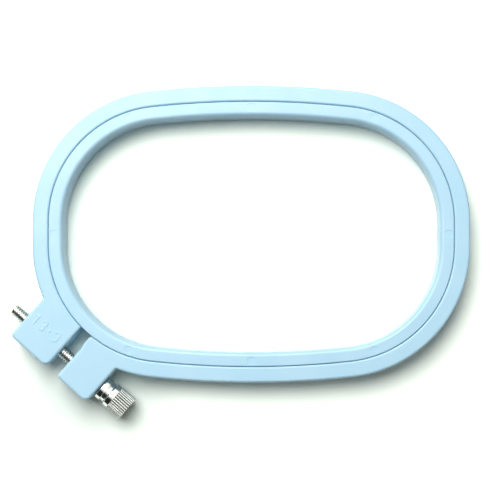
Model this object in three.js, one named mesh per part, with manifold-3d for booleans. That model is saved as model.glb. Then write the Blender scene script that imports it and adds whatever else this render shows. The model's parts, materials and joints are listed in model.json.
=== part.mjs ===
// A small oval embroidery hoop. A closed inner ring sits inside a split outer ring, and a thumb screw
// through the outer ring's two lugs draws it tight round the cloth between them.
// Millimetres, +Z up. The rings lie flat, with the long way of the oval along X.
import * as THREE from "three";
import { mergeVertices } from "three/addons/utils/BufferGeometryUtils.js";
import Module from "manifold-3d";

// Oval of the seam between the rings
const SEAM_LENGTH = 123;
const SEAM_WIDTH = 80.4;
const SEAM_END_FLAT = 7.2; // straight run at each short end
const LONG_SIDE_RADIUS = 279; // the long sides bow outwards on this radius
const SEAM_GAP = 0.35; // room for the cloth

// Rings
const RING_HEIGHT = 10;
const OUTER_WALL = 4.6;
const OUTER_EDGE_ROUND = 1;
const INNER_WALL = 4.2;
const INNER_RIM_ROUND = 1.2; // round the window
const INNER_SEAM_ROUND = 0.35;
const PIN_MARK_DIAMETER = 2.6; // where the mould's ejector pins pushed the inner ring out
const PIN_MARK_DEPTH = 0.1;
const PIN_MARK_TURN = 71; // degrees round each corner from the short end

// Lugs of the outer ring, on one corner of the oval
const CLASP_TURN = 48.4; // degrees round that corner from the short end
const CLASP_GAP = 4.2;
const CLASP_SHIFT = -0.4; // from that place to the gap's middle, along the screw
const NUT_LUG_LENGTH = 14.45;
const HEAD_LUG_LENGTH = 12;
const LUG_REACH = 11.25; // beyond the ring's outer wall
const SCREW_FROM_RING = 5; // from the ring's outer wall to the screw's axis
const LUG_TIP_SIDE_ROUND = 1.2; // each lug's corner towards the tip of the screw
const LUG_HEAD_SIDE_ROUND = 2.1; // and its corner towards the screw's head
const RING_END_ROUND = 1.1; // where the ring's end meets the seam, on the head lug
const RING_END_STEP = 0.35; // that end stands out of the lug's face by this much
const RING_END_SLOPE = 1.9; // and slopes down to the face over this length,
const RING_END_PAST_WALL = 0.25; // as far as this beyond the ring's outer wall
const LUG_ROOT_FILLET = 0.5;

// Raised size mark on the nut lug, the oval's length and width in whole centimetres
const MARK_HEIGHT = 3.6;
const MARK_STROKE = 0.6;
const MARK_RELIEF = 0.15;
const MARK_PITCH = 2.6; // from one figure to the next
const MARK_FROM_RING = 2.3; // from the ring's outer wall to the middle of the figures
const MARK_FROM_SIDE = 6.8; // and to there from the lug's side towards the screw's tip

// Thumb screw
const THREAD_DIAMETER = 4;
const THREAD_PITCH = 0.75;
const THREAD_DEPTH = 0.42;
const THREAD_CREST = 0.12; // flat on top of each turn
const THREAD_PLAY = 0.15; // radial, between the screw's thread and the nut's
const BORE_PLAY = 0.3; // radial, round the screw in the lugs and the sleeve
const TIP_LENGTH = 5.1; // of the screw beyond the nut lug
const TIP_CHAMFER = 0.45;
const SHANK_DIAMETER = 3.4; // plain end of the screw, in the sleeve and the head
const SHANK_PLAY = 0.2; // radial, in the head's bore
const SHANK_DEPTH = 5; // into the head
const SLEEVE_DIAMETER = 6.7;
const FLANGE_DIAMETER = 7.6; // of the sleeve, against the lug
const FLANGE_LENGTH = 1.9;
const FLANGE_ROUND = 0.5; // on the flange's edge at the lug
const HEAD_STANDOFF = 3.6; // the sleeve holds the head this far off the lug
const HEAD_DIAMETER = 8;
const COLLAR_LENGTH = 1.65; // smooth part of the head
const KNURL_LENGTH = 5.35;
const KNURL_RIDGES = 30;
const KNURL_DEPTH = 0.3;
const KNURL_CREST = 0.23; // flat on top of each ridge
const KNURL_DROP = 0.05; // the ridges lie this far inside the collar's surface
const TURNED_CHAMFER = 0.25; // on the other edges of the sleeve, the collar and the knurl
const SEAT_GAP = 0.15; // between pieces that bear on each other along the screw

// Hexagon nut, let into the outer side of the nut lug
const NUT_FLATS = 7;
const NUT_THICKNESS = 3.2;
const NUT_RECESS = 0.4; // below the lug's face
const NUT_PLAY = 0.25; // between each flat and the pocket
const NUT_FACE_INSET = 0.1; // each chamfer begins this far inside the flats
const NUT_CHAMFER_ANGLE = 30;

// Fineness of the curves
const CORNER_STEPS = 17; // along each corner of the oval
const LONG_SIDE_STEPS = 6;
const SMALL_ARC_STEP = 18; // degrees, on small roundings
const EDGE_STEPS = 3; // across each rounded edge
const THREAD_STEPS = 12; // to a turn
const TURNED_STEPS = 40; // round the sleeve and the head
const PIN_MARK_STEPS = 20;
const OVERSHOOT = 1; // how far a cutter runs past what it cuts
const WELD = 1e-4; // points nearer to each other than this are one

const radians = Math.PI / 180;
const plastic = new THREE.MeshStandardMaterial({ color: 0xbde5f8, roughness: 0.45, metalness: 0 });
const nickel = new THREE.MeshStandardMaterial({ color: 0xd6d8d4, roughness: 0.22, metalness: 1 });

const wasm = await Module();
wasm.setup();

// A closed geometry as a solid that can be joined and cut
function solid(geometry) {
  const bare = new THREE.BufferGeometry();
  bare.setAttribute("position", geometry.getAttribute("position"));
  bare.setIndex(geometry.index);
  const merged = mergeVertices(bare, WELD);
  const vertProperties = merged.attributes.position.array;
  const triVerts = new Uint32Array(merged.index.array);
  return new wasm.Manifold(new wasm.Mesh({ numProp: 3, vertProperties, triVerts }));
}

function mesh(name, body, material) {
  const { vertProperties, triVerts } = body.getMesh();
  const geometry = new THREE.BufferGeometry();
  geometry.setAttribute("position", new THREE.BufferAttribute(vertProperties, 3));
  geometry.setIndex(new THREE.BufferAttribute(triVerts, 1));
  geometry.computeVertexNormals();
  const made = new THREE.Mesh(geometry, material);
  made.name = name;
  return made;
}

function polar(x, y, radius, degrees) {
  const angle = degrees * radians;
  return new THREE.Vector2(x + radius * Math.cos(angle), y + radius * Math.sin(angle));
}

// Points of an arc round (x, y), with both its ends
function arc(x, y, radius, from, to, steps = Math.ceil(Math.abs(to - from) / SMALL_ARC_STEP)) {
  const turn = (to - from) / steps;
  return Array.from({ length: steps + 1 }, (_, i) => polar(x, y, radius, from + turn * i));
}

// Sizes of the oval. Its corners are the arcs that touch both the short ends and the long sides.
const halfLength = SEAM_LENGTH / 2;
const halfWidth = SEAM_WIDTH / 2;
const cornerY = SEAM_END_FLAT / 2;
const longSideDrop = LONG_SIDE_RADIUS - halfWidth; // from the middle to the centre of a long side's arc
const cornerDrop = longSideDrop + cornerY;
const cornerRadius =
  (LONG_SIDE_RADIUS ** 2 - halfLength ** 2 - cornerDrop ** 2) / (2 * (LONG_SIDE_RADIUS - halfLength));
const cornerX = halfLength - cornerRadius;
const cornerTurn = Math.atan2(cornerDrop, cornerX) / radians;

// The oval's stations, anticlockwise from the short end beside the clasp. Each is a direction from the
// centre of its arc, so that every offset of the oval has its points on the same lines.
function stations(x, y, radius, from, to, steps, withEnds) {
  const turn = (to - from) / steps;
  const all = Array.from({ length: steps + 1 }, (_, i) => ({ x, y, radius, degrees: from + turn * i }));
  return withEnds ? all : all.slice(1, -1);
}

function corner(x, y, from) {
  return stations(x, y, cornerRadius, from, from + cornerTurn, CORNER_STEPS, true);
}

function longSide(y, from) {
  const turn = 2 * (90 - cornerTurn);
  return stations(0, y, LONG_SIDE_RADIUS, from, from + turn, LONG_SIDE_STEPS, false);
}

const claspCorner = corner(-cornerX, -cornerY, 180);
const restOfOval = [
  ...longSide(longSideDrop, 180 + cornerTurn),
  ...corner(cornerX, -cornerY, 360 - cornerTurn),
  ...corner(cornerX, cornerY, 0),
  ...longSide(-longSideDrop, cornerTurn),
  ...corner(-cornerX, cornerY, 180 - cornerTurn),
];
const oval = [...claspCorner, ...restOfOval];

const offsetPoint = (station, offset) =>
  polar(station.x, station.y, station.radius + offset, station.degrees);

// Points of an offset oval from one direction on the clasp's corner, anticlockwise round to another
function walkRound(offset, from, to) {
  const nearest = cornerTurn / CORNER_STEPS / 4; // a station nearer to an end than this is left out
  const end = (degrees) => ({ ...claspCorner[0], degrees });
  const after = claspCorner.filter((station) => station.degrees > from + nearest);
  const before = claspCorner.filter((station) => station.degrees < to - nearest);
  const path = [end(from), ...after, ...restOfOval, ...before, end(to)];
  return path.map((station) => offsetPoint(station, offset));
}

// A section of (offset from the seam, height) points, anticlockwise, carried round the whole oval
function sweep(section) {
  const positions = oval.flatMap((station) =>
    section.flatMap(({ x: offset, y: height }) => [...offsetPoint(station, offset), height]),
  );
  const index = [];
  oval.forEach((_, i) => {
    const here = i * section.length;
    const next = ((i + 1) % oval.length) * section.length;
    section.forEach((_, j) => {
      const k = (j + 1) % section.length;
      index.push(here + j, next + j, next + k, here + j, next + k, here + k);
    });
  });
  const geometry = new THREE.BufferGeometry();
  geometry.setAttribute("position", new THREE.Float32BufferAttribute(positions, 3));
  geometry.setIndex(index);
  return solid(geometry);
}

// The clasp's frame: its origin is the centre of the corner, X runs along the screw towards the head,
// and the ring is at negative Y. Heights are from half the ring's height.
const claspRotation = 270 + CLASP_TURN;
const claspFrame = new THREE.Matrix4()
  .makeRotationZ(claspRotation * radians)
  .setPosition(-cornerX, -cornerY, RING_HEIGHT / 2);

const fromClasp = ({ x, y }) => {
  const placed = new THREE.Vector3(x, y, 0).applyMatrix4(claspFrame);
  return new THREE.Vector2(placed.x, placed.y);
};
const inClasp = (geometry) => solid(geometry.applyMatrix4(claspFrame));

const seamWall = cornerRadius + SEAM_GAP / 2; // the outer ring's wall at the seam
const outerWall = seamWall + OUTER_WALL;
const lugEnd = -(outerWall + LUG_REACH);
const screwY = -(outerWall + SCREW_FROM_RING);
const headGapFace = CLASP_SHIFT + CLASP_GAP / 2; // the two lugs' faces in the gap
const nutGapFace = CLASP_SHIFT - CLASP_GAP / 2;
const headFace = headGapFace + HEAD_LUG_LENGTH;
const nutFace = nutGapFace - NUT_LUG_LENGTH;

// Centre of a rounding that touches the line at x, on the side given, and a wall of the corner from outside
function roundingCentre(x, side, wall, radius) {
  const centreX = x + side * radius;
  return new THREE.Vector2(centreX, -Math.sqrt((wall + radius) ** 2 - centreX ** 2));
}

const towards = ({ x, y }) => Math.atan2(y, x) / radians; // direction of a point from the corner's centre
const back = ({ x, y }) => Math.atan2(-y, -x) / radians; // direction of the corner's centre from a point

// Plan of the outer ring: a C whose two ends carry the lugs
function outerPlan() {
  const ringEnd = headGapFace - RING_END_STEP;
  const slopeEnd = -(outerWall + RING_END_PAST_WALL);
  const tip = roundingCentre(ringEnd, 1, seamWall, RING_END_ROUND);
  const headRoot = roundingCentre(headFace, 1, outerWall, LUG_ROOT_FILLET);
  const nutRoot = roundingCentre(nutFace, -1, outerWall, LUG_ROOT_FILLET);
  const nutTip = new THREE.Vector2(nutGapFace, -Math.sqrt(seamWall ** 2 - nutGapFace ** 2));

  // Both lugs end alike, in a corner towards the screw's tip and a corner towards its head
  const lugCorners = (from, to) => [
    ...arc(from + LUG_TIP_SIDE_ROUND, lugEnd + LUG_TIP_SIDE_ROUND, LUG_TIP_SIDE_ROUND, 180, 270),
    ...arc(to - LUG_HEAD_SIDE_ROUND, lugEnd + LUG_HEAD_SIDE_ROUND, LUG_HEAD_SIDE_ROUND, 270, 360),
  ];
  const headLug = [
    ...arc(tip.x, tip.y, RING_END_ROUND, back(tip), 180),
    new THREE.Vector2(ringEnd, slopeEnd + RING_END_SLOPE),
    new THREE.Vector2(headGapFace, slopeEnd),
    ...lugCorners(headGapFace, headFace),
    ...arc(headRoot.x, headRoot.y, LUG_ROOT_FILLET, 180, back(headRoot)).slice(0, -1),
  ];
  const nutLug = [
    ...arc(nutRoot.x, nutRoot.y, LUG_ROOT_FILLET, back(nutRoot), 0).slice(1),
    ...lugCorners(nutFace, nutGapFace),
  ];
  const outside = walkRound(
    SEAM_GAP / 2 + OUTER_WALL,
    claspRotation + towards(headRoot),
    claspRotation + towards(nutRoot),
  );
  const inside = walkRound(SEAM_GAP / 2, claspRotation + towards(tip), claspRotation + towards(nutTip));
  inside.shift(); // the head lug's tip begins there
  return [...headLug.map(fromClasp), ...outside, ...nutLug.map(fromClasp), ...inside.reverse()];
}

// A plan raised to a height, with its top and bottom edges rounded
function raisedPlan(plan, height, round) {
  const geometry = new THREE.ExtrudeGeometry(new THREE.Shape(plan), {
    depth: height - 2 * round,
    bevelThickness: round,
    bevelSize: round,
    bevelOffset: -round,
    bevelSegments: EDGE_STEPS,
  });
  return solid(geometry.translate(0, 0, round));
}

// A piece turned about the screw's axis, from (place along the axis, radius) pairs
function turned(profile, steps = TURNED_STEPS) {
  const points = profile.map(([along, radius]) => new THREE.Vector2(radius, along));
  return new THREE.LatheGeometry(points, steps).rotateZ(-Math.PI / 2);
}

function hexagonBar(flats, from, to) {
  const radius = flats / 2 / Math.cos(Math.PI / 6);
  const bar = new THREE.CylinderGeometry(radius, radius, to - from, 6, 1, false, Math.PI / 6);
  return bar.rotateZ(-Math.PI / 2).translate((from + to) / 2, 0, 0);
}

// Flat strokes of the size mark, in a figure's own plane
function bar(x0, y0, x1, y1) {
  const along = new THREE.Vector2(x1 - x0, y1 - y0).normalize();
  const side = new THREE.Vector2(-along.y, along.x).multiplyScalar(MARK_STROKE / 2);
  const [a, b] = [new THREE.Vector2(x0, y0), new THREE.Vector2(x1, y1)];
  return [a.clone().sub(side), b.clone().sub(side), b.clone().add(side), a.clone().add(side)];
}

function bow(x, y, radius, from, to) {
  const outer = arc(x, y, radius + MARK_STROKE / 2, from, to);
  const inner = arc(x, y, radius - MARK_STROKE / 2, to, from);
  return [...outer, ...inner];
}

const figureTop = (MARK_HEIGHT - MARK_STROKE) / 2;
const figureBowl = figureTop / 2; // the bowls of a three are half as high as the figure
const FIGURES = {
  one: [
    bar(0, -MARK_HEIGHT / 2, 0, MARK_HEIGHT / 2),
    bar(0, figureTop, -figureBowl, figureTop - figureBowl),
  ],
  three: [bow(0, figureBowl, figureBowl, -90, 150), bow(0, -figureBowl, figureBowl, -150, 90)],
  point: [bar(-MARK_STROKE / 2, 0, MARK_STROKE / 2, 0)],
  nine: [
    bow(0, figureBowl, figureBowl, 0, 180),
    bow(0, figureBowl, figureBowl, 180, 360),
    bar(figureBowl, figureBowl, figureBowl, -figureBowl),
    bow(0, -figureBowl, figureBowl, -140, 0),
  ],
};

// The raised figures, each stroke sunk a little way into the lug
function sizeMark() {
  const row = [FIGURES.one, FIGURES.three, FIGURES.point, FIGURES.nine];
  const middle = nutFace + MARK_FROM_SIDE;
  const sunk = 2 * MARK_RELIEF;
  return row.flatMap((strokes, place) =>
    strokes.map((stroke) => {
      const shape = new THREE.Shape(stroke);
      const raised = new THREE.ExtrudeGeometry(shape, { depth: sunk + MARK_RELIEF, bevelEnabled: false });
      const x = middle + (place - (row.length - 1) / 2) * MARK_PITCH;
      return inClasp(raised.translate(x, -(outerWall + MARK_FROM_RING), RING_HEIGHT / 2 - sunk));
    }),
  );
}

const threadRadius = THREAD_DIAMETER / 2;
const boreRadius = threadRadius + BORE_PLAY;
const nutOuterFace = nutFace + NUT_RECESS;
const nutInnerFace = nutOuterFace + NUT_THICKNESS;
const pocketFloor = nutInnerFace + SEAT_GAP;

function outerRing() {
  const bore = turned([
    [nutFace - OVERSHOOT, 0],
    [nutFace - OVERSHOOT, boreRadius],
    [headFace + OVERSHOOT, boreRadius],
    [headFace + OVERSHOOT, 0],
  ]);
  const pocket = hexagonBar(NUT_FLATS + 2 * NUT_PLAY, nutFace - OVERSHOOT, pocketFloor);
  const body = raisedPlan(outerPlan(), RING_HEIGHT, OUTER_EDGE_ROUND);
  const bored = [bore, pocket].reduce(
    (left, cutter) => left.subtract(inClasp(cutter.translate(0, screwY, 0))),
    body,
  );
  return sizeMark().reduce((joined, stroke) => joined.add(stroke), bored);
}

// Section of the inner ring, between the seam and the window
function innerSection() {
  const seam = -SEAM_GAP / 2;
  const window = seam - INNER_WALL;
  const [rim, edge] = [INNER_RIM_ROUND, INNER_SEAM_ROUND];
  return [
    ...arc(window + rim, rim, rim, 180, 270, EDGE_STEPS),
    ...arc(seam - edge, edge, edge, 270, 360, EDGE_STEPS),
    ...arc(seam - edge, RING_HEIGHT - edge, edge, 0, 90, EDGE_STEPS),
    ...arc(window + rim, RING_HEIGHT - rim, rim, 90, 180, EDGE_STEPS),
  ];
}

// Middles of the pin marks: one on each side of the oval and one on each corner
function pinMarkPlaces() {
  const offset = -(SEAM_GAP + INNER_WALL + INNER_SEAM_ROUND - INNER_RIM_ROUND) / 2;
  const onCorner = polar(cornerX, cornerY, cornerRadius + offset, PIN_MARK_TURN);
  const signs = [-1, 1];
  return [
    ...signs.map((side) => new THREE.Vector2(side * (halfLength + offset), 0)),
    ...signs.map((side) => new THREE.Vector2(0, side * (halfWidth + offset))),
    ...signs.flatMap((x) => signs.map((y) => new THREE.Vector2(x * onCorner.x, y * onCorner.y))),
  ];
}

function innerRing() {
  const radius = PIN_MARK_DIAMETER / 2;
  return pinMarkPlaces().reduce((left, { x, y }) => {
    const pin = new THREE.CylinderGeometry(radius, radius, 2 * PIN_MARK_DEPTH, PIN_MARK_STEPS);
    return left.subtract(solid(pin.rotateX(Math.PI / 2).translate(x, y, RING_HEIGHT)));
  }, sweep(innerSection()));
}

// A right-hand thread along X with a narrow flat on its crest. Its ends are rough, to be cut off.
function thread(crest, root, from, to) {
  const halfCrest = THREAD_CREST / THREAD_PITCH / 2;
  const profile = [
    [0, root],
    [0.5 - halfCrest, crest],
    [0.5 + halfCrest, crest],
  ];
  const first = Math.floor(from / THREAD_PITCH) - 1;
  const turns = Math.ceil(to / THREAD_PITCH) + 1 - first;
  const rows = turns * THREAD_STEPS;
  const positions = [];
  for (let row = 0; row <= rows + THREAD_STEPS; row++) {
    const angle = (2 * Math.PI * row) / THREAD_STEPS;
    profile.forEach(([share, radius]) => {
      const x = THREAD_PITCH * (first + row / THREAD_STEPS + share);
      positions.push(x, radius * Math.cos(angle), radius * Math.sin(angle));
    });
  }
  // A row's points run from one root to the next, which is the root of the row one turn on
  const vertex = (row, place) =>
    place < profile.length ? row * profile.length + place : (row + THREAD_STEPS) * profile.length;
  const index = [];
  for (let row = 0; row < rows; row++)
    profile.forEach((_, place) => {
      const [a, b] = [vertex(row, place), vertex(row + 1, place)];
      const [c, d] = [vertex(row + 1, place + 1), vertex(row, place + 1)];
      index.push(a, b, c, a, c, d);
    });
  // Each rough end closes on a point of the axis
  [0, rows].forEach((row) => {
    const centre = positions.length / 3;
    positions.push(THREAD_PITCH * (first + row / THREAD_STEPS + 0.5), 0, 0);
    const rim = [];
    for (let step = 0; step < THREAD_STEPS; step++) rim.push(vertex(row + step, 0));
    for (let place = profile.length; place > 0; place--) rim.push(vertex(row, place));
    rim.forEach((here, i) => {
      const next = rim[(i + 1) % rim.length];
      index.push(centre, ...(row ? [here, next] : [next, here]));
    });
  });
  const geometry = new THREE.BufferGeometry();
  geometry.setAttribute("position", new THREE.Float32BufferAttribute(positions, 3));
  geometry.setIndex(index);
  return solid(geometry);
}

const tipEnd = nutFace - TIP_LENGTH;
const sleeveStart = headFace + SEAT_GAP;
const headStart = headFace + HEAD_STANDOFF;
const knurlStart = headStart + COLLAR_LENGTH;
const headEnd = knurlStart + KNURL_LENGTH;
const shankRadius = SHANK_DIAMETER / 2;
const headRadius = HEAD_DIAMETER / 2;

function clampScrew() {
  const wide = threadRadius + OVERSHOOT;
  const threadEnd = sleeveStart;
  const envelope = turned([
    [tipEnd, 0],
    [tipEnd, threadRadius - TIP_CHAMFER],
    [tipEnd + TIP_CHAMFER + OVERSHOOT, wide],
    [threadEnd, wide],
    [threadEnd, 0],
  ]);
  const shank = turned([
    [threadEnd - OVERSHOOT, 0],
    [threadEnd - OVERSHOOT, shankRadius],
    [headStart + SHANK_DEPTH, shankRadius],
    [headStart + SHANK_DEPTH, 0],
  ]);
  const cut = thread(threadRadius, threadRadius - THREAD_DEPTH, tipEnd, threadEnd);
  return cut.intersect(solid(envelope)).add(solid(shank));
}

function headSleeve() {
  const [start, end] = [sleeveStart, headStart - SEAT_GAP];
  const [flange, neck] = [FLANGE_DIAMETER / 2, SLEEVE_DIAMETER / 2];
  const edge = arc(start + FLANGE_ROUND, flange - FLANGE_ROUND, FLANGE_ROUND, 180, 90, EDGE_STEPS);
  const profile = [
    [start, boreRadius],
    ...edge.map(({ x, y }) => [x, y]),
    [start + FLANGE_LENGTH, flange],
    [start + FLANGE_LENGTH, neck],
    [end - TURNED_CHAMFER, neck],
    [end, neck - TURNED_CHAMFER],
    [end, boreRadius],
    [start, boreRadius],
  ];
  return solid(turned(profile));
}

function thumbHead() {
  const crest = headRadius - KNURL_DROP;
  const ridge = 360 / KNURL_RIDGES;
  const halfCrest = KNURL_CREST / crest / 2 / radians;
  const outline = Array.from({ length: KNURL_RIDGES }, (_, i) => [
    polar(0, 0, crest - KNURL_DEPTH, ridge * i),
    polar(0, 0, crest, ridge * (i + 0.5) - halfCrest),
    polar(0, 0, crest, ridge * (i + 0.5) + halfCrest),
  ]).flat();
  const grip = new THREE.ExtrudeGeometry(new THREE.Shape(outline), {
    depth: headEnd - knurlStart,
    bevelEnabled: false,
  });
  const knurl = solid(grip.rotateY(Math.PI / 2).translate(knurlStart, 0, 0));
  const wide = headRadius + OVERSHOOT;
  const bevelled = turned([
    [headStart, 0],
    [headStart, wide],
    [headEnd - TURNED_CHAMFER - OVERSHOOT, wide],
    [headEnd, headRadius - TURNED_CHAMFER],
    [headEnd, 0],
  ]);
  const collar = turned([
    [headStart, 0],
    [headStart, headRadius - TURNED_CHAMFER],
    [headStart + TURNED_CHAMFER, headRadius],
    [knurlStart + TURNED_CHAMFER / 2, headRadius],
    [knurlStart + TURNED_CHAMFER / 2, 0],
  ]);
  const bore = turned([
    [headStart - OVERSHOOT, 0],
    [headStart - OVERSHOOT, shankRadius + SHANK_PLAY],
    [headStart + SHANK_DEPTH + SHANK_PLAY, shankRadius + SHANK_PLAY],
    [headStart + SHANK_DEPTH + SHANK_PLAY, 0],
  ]);
  return knurl.intersect(solid(bevelled)).add(solid(collar)).subtract(solid(bore));
}

function captiveNut() {
  const face = NUT_FLATS / 2 - NUT_FACE_INSET;
  const wide = NUT_FLATS / 2 + OVERSHOOT;
  const slope = (wide - face) * Math.tan(NUT_CHAMFER_ANGLE * radians);
  const chamfered = turned([
    [nutOuterFace, 0],
    [nutOuterFace, face],
    [nutOuterFace + slope, wide],
    [nutInnerFace - slope, wide],
    [nutInnerFace, face],
    [nutInnerFace, 0],
  ]);
  const crest = threadRadius + THREAD_PLAY;
  const cutter = thread(crest, crest - THREAD_DEPTH, nutOuterFace - OVERSHOOT, nutInnerFace + OVERSHOOT);
  const body = solid(hexagonBar(NUT_FLATS, nutOuterFace, nutInnerFace)).intersect(solid(chamfered));
  return body.subtract(cutter);
}

const screwLine = new THREE.Group();
screwLine.position.set(0, screwY, 0);
screwLine.add(
  mesh("clamp_screw", clampScrew(), nickel),
  mesh("head_sleeve", headSleeve(), nickel),
  mesh("thumb_head", thumbHead(), nickel),
  mesh("captive_nut", captiveNut(), nickel),
);

const clasp = new THREE.Group();
clasp.applyMatrix4(claspFrame);
clasp.add(screwLine);

const hoop = new THREE.Group();
hoop.add(mesh("outer_ring", outerRing(), plastic), mesh("inner_ring", innerRing(), plastic), clasp);

// The origin is the middle of the hoop's base, lugs and screw included
hoop.updateMatrixWorld(true);
const extent = new THREE.Box3().setFromObject(hoop, true);
const middle = extent.getCenter(new THREE.Vector3());
hoop.position.set(-middle.x, -middle.y, -extent.min.z);

export default hoop;
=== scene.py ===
"""A small oval embroidery hoop lying on a pale table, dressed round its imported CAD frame.

A closed inner ring sits in a split outer ring, and a thumb screw through the outer ring's two lugs draws it
tight. Each piece is modelled afresh with a finer surface, in the place of its CAD node. Sizes are in
millimetres and degrees, and a piece becomes metres as it is placed. Blender 4.5.
"""

import json
import logging
import math
from dataclasses import dataclass
from enum import Enum
from typing import Any, Callable, Iterable, Sequence

import bmesh
import bpy
from mathutils import Matrix, Vector


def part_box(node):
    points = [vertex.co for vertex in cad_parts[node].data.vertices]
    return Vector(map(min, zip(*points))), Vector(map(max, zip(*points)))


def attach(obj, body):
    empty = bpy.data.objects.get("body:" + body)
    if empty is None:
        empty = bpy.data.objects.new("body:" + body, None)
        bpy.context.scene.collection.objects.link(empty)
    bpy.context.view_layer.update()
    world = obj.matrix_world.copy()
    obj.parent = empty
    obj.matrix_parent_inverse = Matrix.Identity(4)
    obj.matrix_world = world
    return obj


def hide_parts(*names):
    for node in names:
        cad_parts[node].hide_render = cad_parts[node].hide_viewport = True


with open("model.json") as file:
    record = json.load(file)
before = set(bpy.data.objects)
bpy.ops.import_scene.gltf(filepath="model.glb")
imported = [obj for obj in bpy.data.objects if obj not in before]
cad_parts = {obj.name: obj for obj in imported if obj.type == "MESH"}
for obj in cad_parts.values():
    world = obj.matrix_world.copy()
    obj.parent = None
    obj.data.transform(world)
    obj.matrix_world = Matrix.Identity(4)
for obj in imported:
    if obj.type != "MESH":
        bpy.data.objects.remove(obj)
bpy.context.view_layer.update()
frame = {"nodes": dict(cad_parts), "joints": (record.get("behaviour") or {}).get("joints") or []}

MM = 0.001
WELD = 1e-3  # millimetres within which two vertices are one
UP = Vector((0, 0, 1))
ALONG = Vector((1, 0, 0))
ORIGIN = Vector((0, 0, 0))
OVERSHOOT = 1.0  # how far a cutter runs past what it cuts
RIGHT_ANGLE = 90
HALF_ROUND = 180
ALL_ROUND = 360
RIM_ANGLE = 60  # a level face ends in a rim where the edge is sharper than this
SHARP_ANGLE = 32  # an edge sharper than this keeps its crease
TURNED_STEPS = 96  # all round a turned piece
FINE_STEPS = 128  # and round one that is seen from near by
BAR_SIDES = 64  # of a round bar

log = logging.getLogger("embroidery_hoop")


class Combine(Enum):
    """How one solid changes another."""

    ADD = "UNION"
    CUT = "DIFFERENCE"
    KEEP = "INTERSECT"


class Body(Enum):
    """What a piece rides on."""

    OUTER_RING = "outer_ring"
    INNER_RING = "inner_ring"
    SLEEVE = "sleeve"
    THUMB_SCREW = "thumb_screw"


# Shaping


def new_vert(bm: bmesh.types.BMesh, place: Iterable[float]) -> bmesh.types.BMVert:
    """Adds one vertex and returns it."""
    return bm.verts.new(Vector(place).to_3d())


def only(kind: type, geom: Iterable[Any]) -> list[Any]:
    """Returns the parts of a mesh that are of one kind."""
    return [part for part in geom if isinstance(part, kind)]


def move(bm: bmesh.types.BMesh, matrix: Matrix) -> bmesh.types.BMesh:
    """Moves a whole mesh and returns it."""
    bmesh.ops.transform(bm, matrix=matrix, verts=bm.verts[:])
    return bm


def spin(
    bm: bmesh.types.BMesh,
    geom: Sequence[Any],
    centre: Vector = ORIGIN,
    axis: Vector = ALONG,
    degrees: float = ALL_ROUND,
    steps: int = 1,
    shift: Vector = ORIGIN,
    merge: bool = False,
) -> list[Any]:
    """Carries vertices and edges round an axis, leaving a surface behind them.

    Args:
        bm: The mesh that holds them.
        geom: The vertices and edges to carry.
        centre: A point on the axis.
        axis: The direction of the axis.
        degrees: How far they turn.
        steps: In how many steps they turn.
        shift: How far they also move at each step.
        merge: Whether the last step is joined to the first.

    Returns:
        The vertices and edges at the far end.
    """
    done = bmesh.ops.spin(
        bm, geom=geom, cent=centre, axis=axis, dvec=shift, angle=math.radians(degrees), steps=steps,
        use_merge=merge, use_normal_flip=False, use_duplicate=False,
    )
    return done["geom_last"]


def bevel(
    bm: bmesh.types.BMesh, geom: Sequence[Any], size: float, segments: int, affect: str = "EDGES"
) -> None:
    """Rounds edges or vertices by one size."""
    bmesh.ops.bevel(
        bm, geom=geom, offset=size, offset_type="OFFSET", segments=segments, profile=0.5,
        affect=affect, material=-1,
    )


def weld(bm: bmesh.types.BMesh) -> None:
    """Joins doubled vertices and turns the faces outwards."""
    bmesh.ops.remove_doubles(bm, verts=bm.verts[:], dist=WELD)
    bmesh.ops.recalc_face_normals(bm, faces=bm.faces[:])


@dataclass(frozen=True)
class Turn:
    """A stretch of an outline round a centre, anticlockwise where the angle is positive."""

    centre: Vector
    degrees: float
    step: float  # greatest degrees between two points

    def carry(self, bm: bmesh.types.BMesh, geom: Sequence[Any]) -> list[Any]:
        """Carries vertices and edges along the stretch and returns them at its end."""
        steps = max(1, math.ceil(abs(self.degrees) / self.step))
        return spin(bm, geom, self.centre.to_3d(), UP, self.degrees, steps)

    def reverse(self) -> "Turn":
        """Returns the stretch from its end to its start."""
        return Turn(self.centre, -self.degrees, self.step)


@dataclass(frozen=True)
class Run:
    """A straight stretch of an outline."""

    shift: Vector
    steps: int = 1

    def carry(self, bm: bmesh.types.BMesh, geom: Sequence[Any]) -> list[Any]:
        """Carries vertices and edges along the stretch and returns them at its end."""
        return spin(bm, geom, axis=UP, degrees=0, steps=self.steps, shift=self.shift.to_3d() / self.steps)

    def reverse(self) -> "Run":
        """Returns the stretch from its end to its start."""
        return Run(-self.shift, self.steps)


Stretch = Turn | Run


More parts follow.
